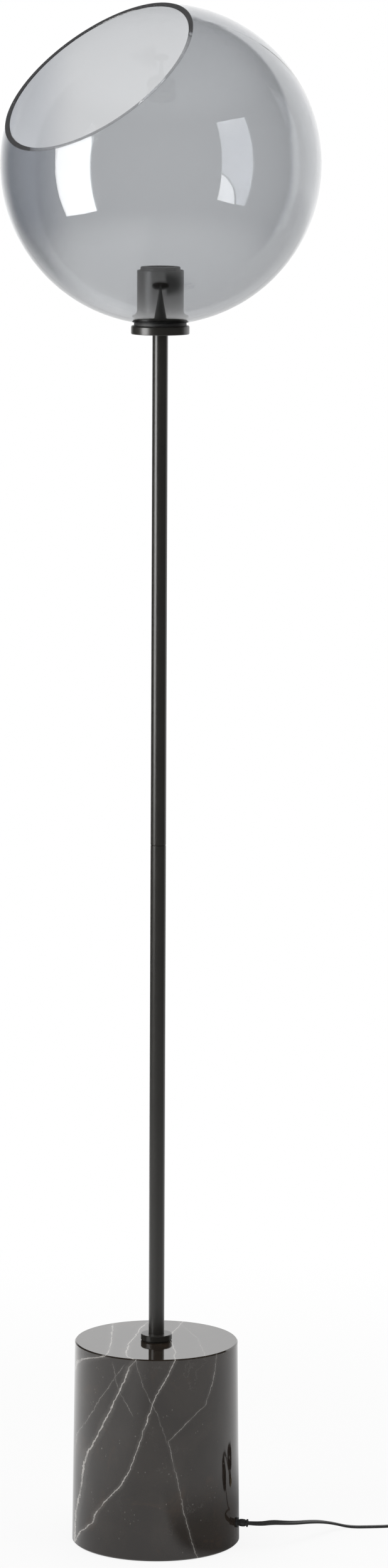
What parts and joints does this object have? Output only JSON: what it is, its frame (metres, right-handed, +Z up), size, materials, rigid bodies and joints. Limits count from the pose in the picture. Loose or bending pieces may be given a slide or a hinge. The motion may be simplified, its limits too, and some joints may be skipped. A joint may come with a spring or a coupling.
{
  "type": "globe floor lamp",
  "caption": "Floor lamp: open smoked-glass globe on a thin black stem and a heavy marble cylinder, with a flat cord, foot switch and plug.",
  "frame": {"origin": "on the floor, under the middle of the marble base", "axes": "+Z up along the stem, +X towards the side where the cord leaves, -Y towards the viewer's side of the picture"},
  "size_m": [0.5981, 0.3639, 1.588],
  "materials": {
    "marble": "polished dark brown-grey marble with pale and rust veins",
    "black_metal": "satin black powder coat",
    "smoked_glass": "clear grey smoke",
    "silicone": "matt black silicone",
    "felt": "black felt",
    "zinc_steel": "zinc-plated steel",
    "brass": "bare brass",
    "copper": "bare copper",
    "black_phenolic": "black moulded phenolic",
    "porcelain": "glazed white porcelain",
    "black_moulding": "black moulded vinyl and plastic",
    "cord_sheath": "black vinyl flat twin cord"
  },
  "bodies": {
    "lamp": {"floor_pad": "felt", "marble_base": "marble", "retaining_plate": "zinc_steel", "lock_washer": "zinc_steel", "base_nut": "zinc_steel", "tie_tube": "zinc_steel", "collar_gasket": "silicone", "base_collar": "black_metal", "lower_stem": "black_metal", "lower_stem_foot_insert": "zinc_steel", "lower_stem_head_insert": "zinc_steel", "stem_coupler": "zinc_steel", "upper_stem": "black_metal", "upper_stem_foot_insert": "zinc_steel", "upper_stem_head_insert": "zinc_steel", "globe_flange": "black_metal", "flange_nipple": "zinc_steel", "socket_cup": "black_metal", "cup_washer": "zinc_steel", "cup_nut": "zinc_steel", "holder_cap": "black_phenolic", "holder_insert": "porcelain", "holder_skirt": "black_phenolic", "screw_shell": "brass", "centre_contact": "brass", "terminal_plates": "brass", "terminal_screws": "zinc_steel", "conductors": "copper", "inner_cord": "cord_sheath", "strain_relief": "black_moulding", "lamp_cord": "cord_sheath", "switch_lower_case": "black_moulding", "switch_upper_case": "black_moulding", "switch_spring": "zinc_steel", "switch_contacts": "brass", "switch_screws": "zinc_steel", "loop_cord": "cord_sheath", "cord_coil": "cord_sheath", "cord_tie": "black_moulding", "plug_cord": "cord_sheath", "plug_body": "black_moulding", "plug_blades": "brass"},
    "globe": {"lower_gasket": "silicone", "glass_globe": "smoked_glass", "upper_gasket": "silicone"},
    "button": {"switch_button": "black_moulding"}
  },
  "joints": [
    {"name": "globe_turn", "type": "hinge", "parent": "lamp", "child": "globe", "pos_m": [0, 0, 1.2575], "axis": [0, 0, 1], "continuous": true},
    {"name": "switch_press", "type": "slide", "parent": "lamp", "child": "button", "axis": [0, 0, -1], "range_m": [0, 0.0025], "stiffness_N_per_m": 400, "springref_m": -0.004, "deforming": ["switch_spring"]}
  ]
}
